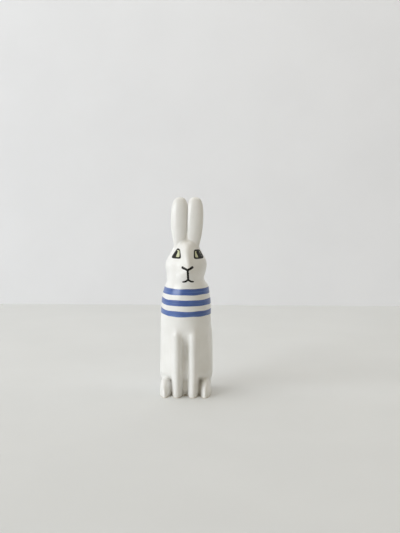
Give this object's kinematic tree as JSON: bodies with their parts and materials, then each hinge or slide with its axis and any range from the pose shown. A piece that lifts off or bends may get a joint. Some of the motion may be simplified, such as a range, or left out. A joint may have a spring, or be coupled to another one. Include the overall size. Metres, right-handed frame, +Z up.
{
  "type": "rabbit figurine",
  "caption": "Slim upright sitting rabbit ornament in glossy white glazed ceramic with tall paired ears, a painted face and blue bands round the chest.",
  "frame": {"origin": "middle of the flat base, on the surface it stands on", "axes": "+Z up through the ears, the rabbit faces -Y, +X is its left side"},
  "size_m": [0.0492, 0.0579, 0.1799],
  "materials": {
    "white_glaze": "glossy clear glaze over white earthenware",
    "blue_underglaze": "brushed blue underglaze bands under gloss",
    "black_line": "black brush line under gloss",
    "iris_colour": "pale yellow-green brush colour under gloss"
  },
  "bodies": {
    "root": {"torso": "white_glaze", "head": "white_glaze", "left_ear": "white_glaze", "right_ear": "white_glaze", "left_foreleg": "white_glaze", "right_foreleg": "white_glaze", "left_haunch": "white_glaze", "right_haunch": "white_glaze", "left_hind_paw": "white_glaze", "right_hind_paw": "white_glaze", "tail": "white_glaze", "upper_stripe": "blue_underglaze", "middle_stripe": "blue_underglaze", "lower_stripe": "blue_underglaze", "left_eye_outline": "black_line", "right_eye_outline": "black_line", "left_pupil": "black_line", "right_pupil": "black_line", "nose_line": "black_line", "mouth_line": "black_line", "left_iris": "iris_colour", "right_iris": "iris_colour"}
  },
  "joints": []
}
